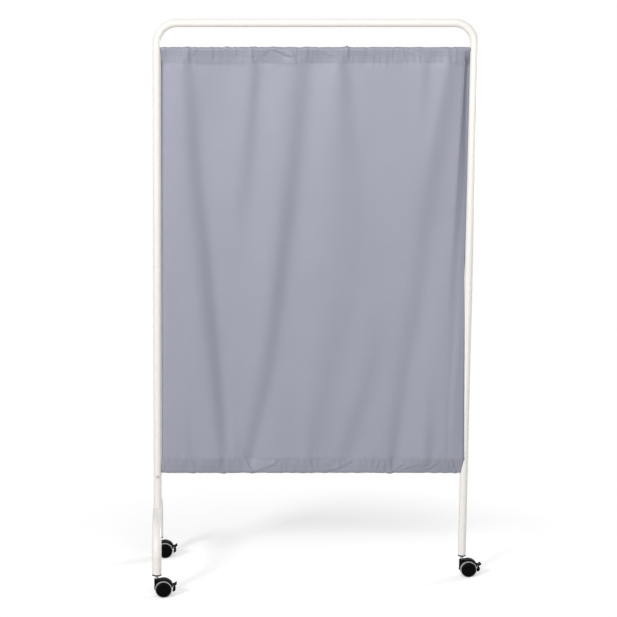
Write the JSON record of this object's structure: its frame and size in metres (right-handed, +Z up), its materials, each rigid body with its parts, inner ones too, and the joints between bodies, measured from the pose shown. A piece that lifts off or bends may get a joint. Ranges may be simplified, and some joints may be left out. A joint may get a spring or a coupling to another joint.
{
  "type": "mobile privacy screen",
  "caption": "Single-panel ward privacy screen: a bent tube hoop with a hanging cloth panel between rods, an arched foot and swivel castors with brakes.",
  "frame": {"origin": "centre of the bounding box at floor level, between the castors", "axes": "+Z up, +X to the right across the screen as seen from the front, +Y from the front to the back"},
  "size_m": [1.0115, 0.44, 1.7],
  "materials": {
    "cream_paint": "semi-gloss powder coat",
    "grey_cloth": "plain woven polyester, matt",
    "black_plastic": "moulded, satin",
    "grey_tread": "soft polyurethane tread, matt",
    "bright_steel": "zinc plated",
    "dark_steel": "blackened screw head"
  },
  "bodies": {
    "screen_frame": {"hoop_frame": "cream_paint", "foot_arch": "cream_paint", "foot_screw": "dark_steel", "curtain_rod_top": "cream_paint", "curtain_rod_bottom": "cream_paint", "rod_insert_top_left": "bright_steel", "rod_insert_top_right": "bright_steel", "rod_insert_bottom_left": "bright_steel", "rod_insert_bottom_right": "bright_steel", "rod_screw_top_left": "bright_steel", "rod_screw_top_right": "bright_steel", "rod_screw_bottom_left": "bright_steel", "rod_screw_bottom_right": "bright_steel", "curtain": "grey_cloth", "leg_plug_front_left": "black_plastic", "leg_plug_rear_left": "black_plastic", "leg_plug_right": "black_plastic", "castor_stem_front_left": "bright_steel", "castor_stem_rear_left": "bright_steel", "castor_stem_right": "bright_steel"},
    "castor_front_left": {"castor_housing_front_left": "black_plastic", "axle_front_left": "bright_steel", "brake_pin_front_left": "bright_steel"},
    "castor_rear_left": {"castor_housing_rear_left": "black_plastic", "axle_rear_left": "bright_steel", "brake_pin_rear_left": "bright_steel"},
    "castor_right": {"castor_housing_right": "black_plastic", "axle_right": "bright_steel", "brake_pin_right": "bright_steel"},
    "lever_front_left": {"brake_lever_front_left": "black_plastic"},
    "lever_rear_left": {"brake_lever_rear_left": "black_plastic"},
    "lever_right": {"brake_lever_right": "black_plastic"},
    "wheel_front_left_front": {"wheel_hub_front_left_front": "black_plastic", "wheel_tread_front_left_front": "grey_tread"},
    "wheel_front_left_back": {"wheel_hub_front_left_back": "black_plastic", "wheel_tread_front_left_back": "grey_tread"},
    "wheel_rear_left_front": {"wheel_hub_rear_left_front": "black_plastic", "wheel_tread_rear_left_front": "grey_tread"},
    "wheel_rear_left_back": {"wheel_hub_rear_left_back": "black_plastic", "wheel_tread_rear_left_back": "grey_tread"},
    "wheel_right_front": {"wheel_hub_right_front": "black_plastic", "wheel_tread_right_front": "grey_tread"},
    "wheel_right_back": {"wheel_hub_right_back": "black_plastic", "wheel_tread_right_back": "grey_tread"}
  },
  "joints": [
    {"name": "swivel_front_left", "type": "hinge", "parent": "screen_frame", "child": "castor_front_left", "pos_m": [-0.49175, -0.2, 0.04], "axis": [0, 0, 1], "continuous": true},
    {"name": "swivel_rear_left", "type": "hinge", "parent": "screen_frame", "child": "castor_rear_left", "pos_m": [-0.49175, 0.2, 0.04], "axis": [0, 0, 1], "continuous": true},
    {"name": "swivel_right", "type": "hinge", "parent": "screen_frame", "child": "castor_right", "pos_m": [0.44625, 0, 0.04], "axis": [0, 0, 1], "continuous": true},
    {"name": "roll_front_left_front", "type": "hinge", "parent": "castor_front_left", "child": "wheel_front_left_front", "pos_m": [-0.47175, -0.2, 0.025], "axis": [0, 1, 0], "continuous": true},
    {"name": "roll_front_left_back", "type": "hinge", "parent": "castor_front_left", "child": "wheel_front_left_back", "pos_m": [-0.47175, -0.2, 0.025], "axis": [0, 1, 0], "continuous": true},
    {"name": "roll_rear_left_front", "type": "hinge", "parent": "castor_rear_left", "child": "wheel_rear_left_front", "pos_m": [-0.47175, 0.2, 0.025], "axis": [0, 1, 0], "continuous": true},
    {"name": "roll_rear_left_back", "type": "hinge", "parent": "castor_rear_left", "child": "wheel_rear_left_back", "pos_m": [-0.47175, 0.2, 0.025], "axis": [0, 1, 0], "continuous": true},
    {"name": "roll_right_front", "type": "hinge", "parent": "castor_right", "child": "wheel_right_front", "pos_m": [0.46625, 0, 0.025], "axis": [0, 1, 0], "continuous": true},
    {"name": "roll_right_back", "type": "hinge", "parent": "castor_right", "child": "wheel_right_back", "pos_m": [0.46625, 0, 0.025], "axis": [0, 1, 0], "continuous": true},
    {"name": "brake_front_left", "type": "hinge", "parent": "castor_front_left", "child": "lever_front_left", "pos_m": [-0.44335, -0.2, 0.0344], "axis": [0, 1, 0], "range_deg": [0, 7]},
    {"name": "brake_rear_left", "type": "hinge", "parent": "castor_rear_left", "child": "lever_rear_left", "pos_m": [-0.44335, 0.2, 0.0344], "axis": [0, 1, 0], "range_deg": [0, 7]},
    {"name": "brake_right", "type": "hinge", "parent": "castor_right", "child": "lever_right", "pos_m": [0.49465, 0, 0.0344], "axis": [0, 1, 0], "range_deg": [0, 7]}
  ]
}
